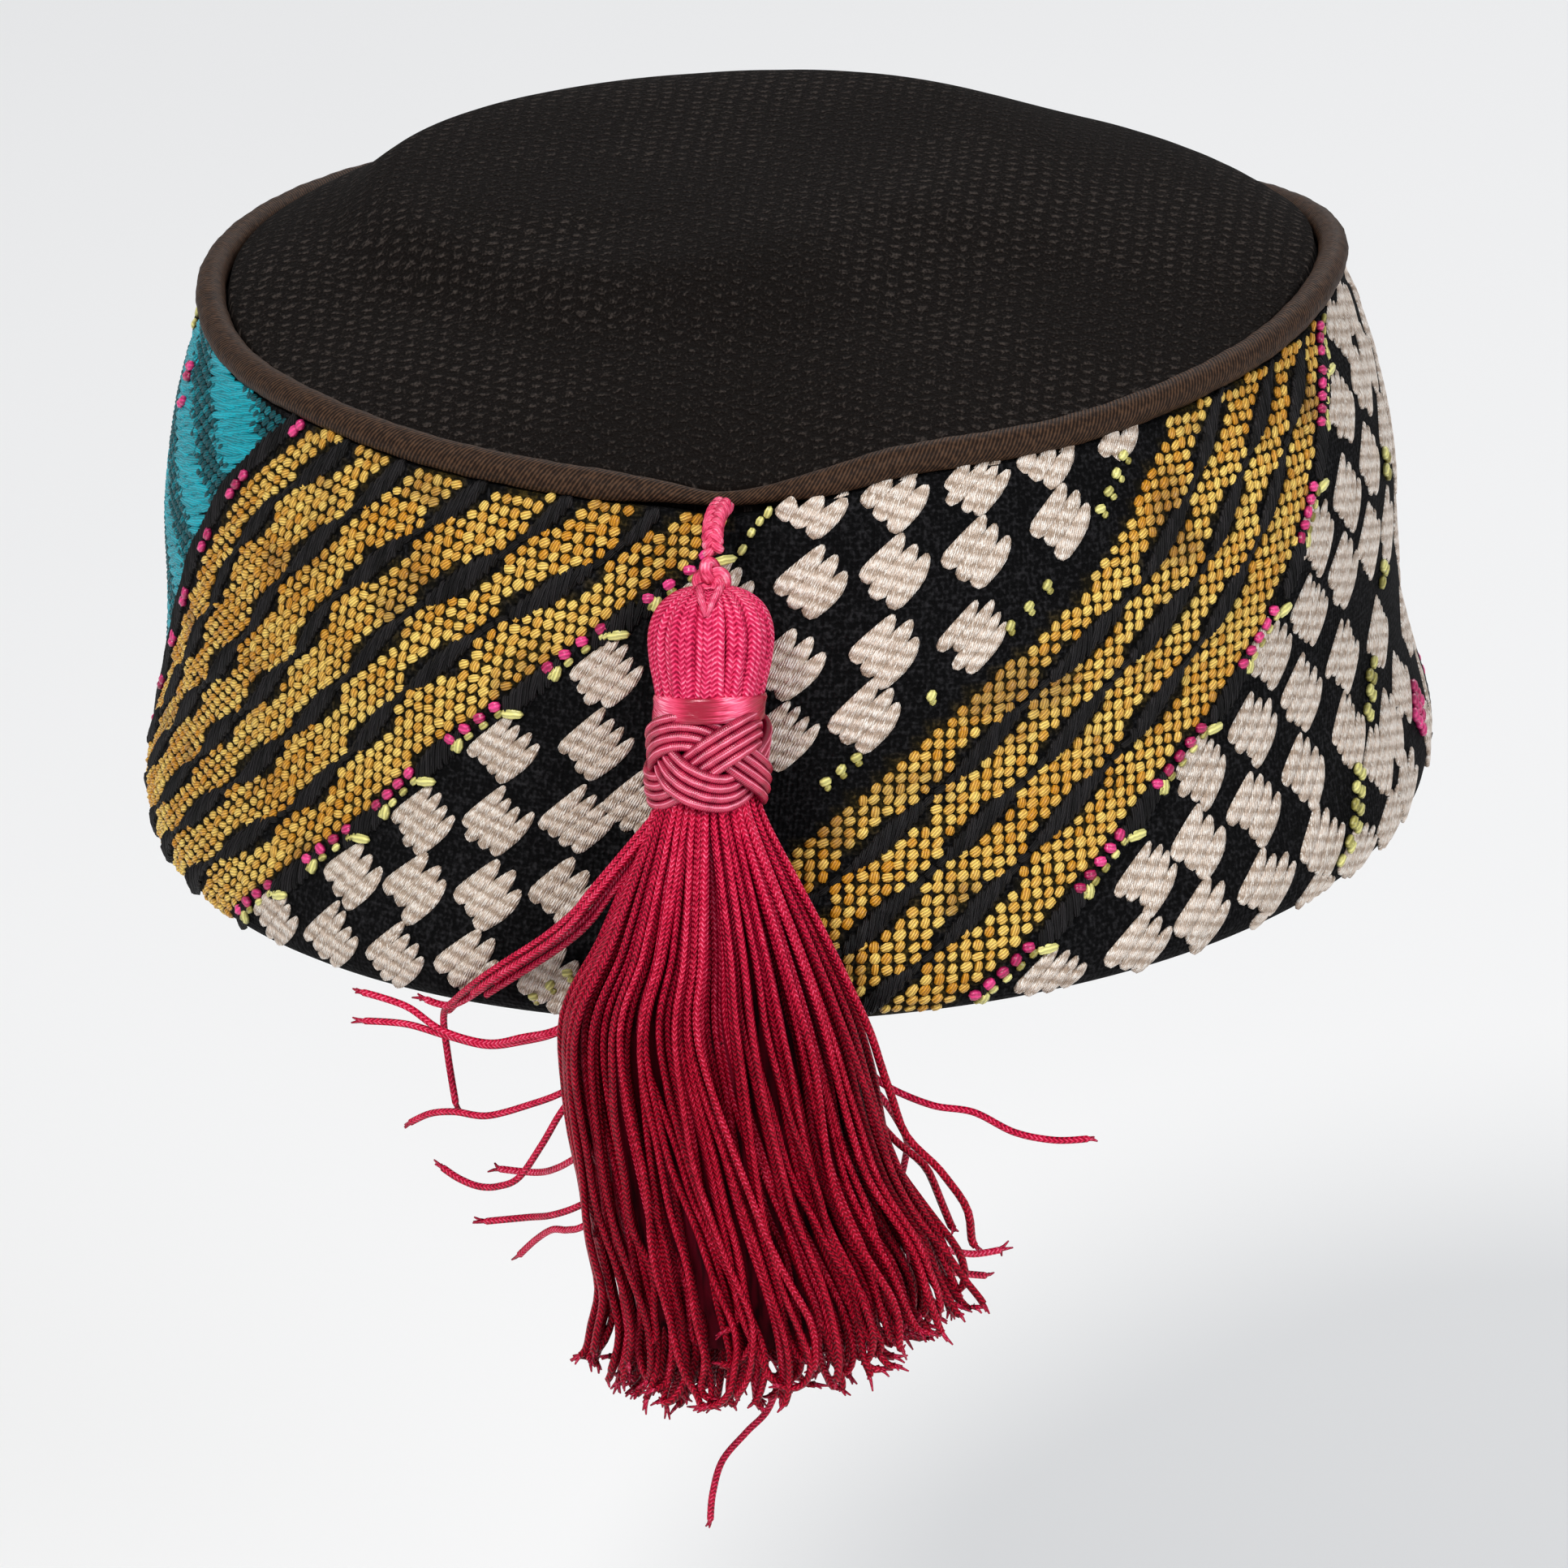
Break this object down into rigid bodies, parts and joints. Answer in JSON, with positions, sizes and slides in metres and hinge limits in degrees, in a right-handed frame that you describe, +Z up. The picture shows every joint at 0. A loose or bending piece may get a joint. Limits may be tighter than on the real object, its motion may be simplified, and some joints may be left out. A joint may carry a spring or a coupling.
{
  "type": "fez hat",
  "caption": "Low fez with a woven side band, canvas crown, piped seam and a hanging cord tassel, open below for a head.",
  "frame": {"origin": "middle of the head opening, in the plane of the hem, where the cap sits on a head", "axes": "+Z up through the crown, -Y towards the front with the tassel, +X to the right seen from the front"},
  "size_m": [0.1884, 0.227, 0.1607],
  "materials": {
    "canvas": "black coarse canvas",
    "brown_sateen": "dark brown sateen",
    "brocade": "black, cream, gold and teal brocade",
    "pink_cord": "glossy rayon cord",
    "pink_ribbon": "satin",
    "crimson_fringe": "glossy rayon cord"
  },
  "bodies": {
    "root": {"crown_top": "canvas", "piping": "brown_sateen", "side_band": "brocade", "tassel_loop": "pink_cord", "tassel_loop_knot": "pink_cord", "tassel_head": "pink_cord", "tassel_ribbon": "pink_ribbon", "tassel_knot": "pink_cord", "tassel_skirt": "crimson_fringe"}
  },
  "joints": []
}
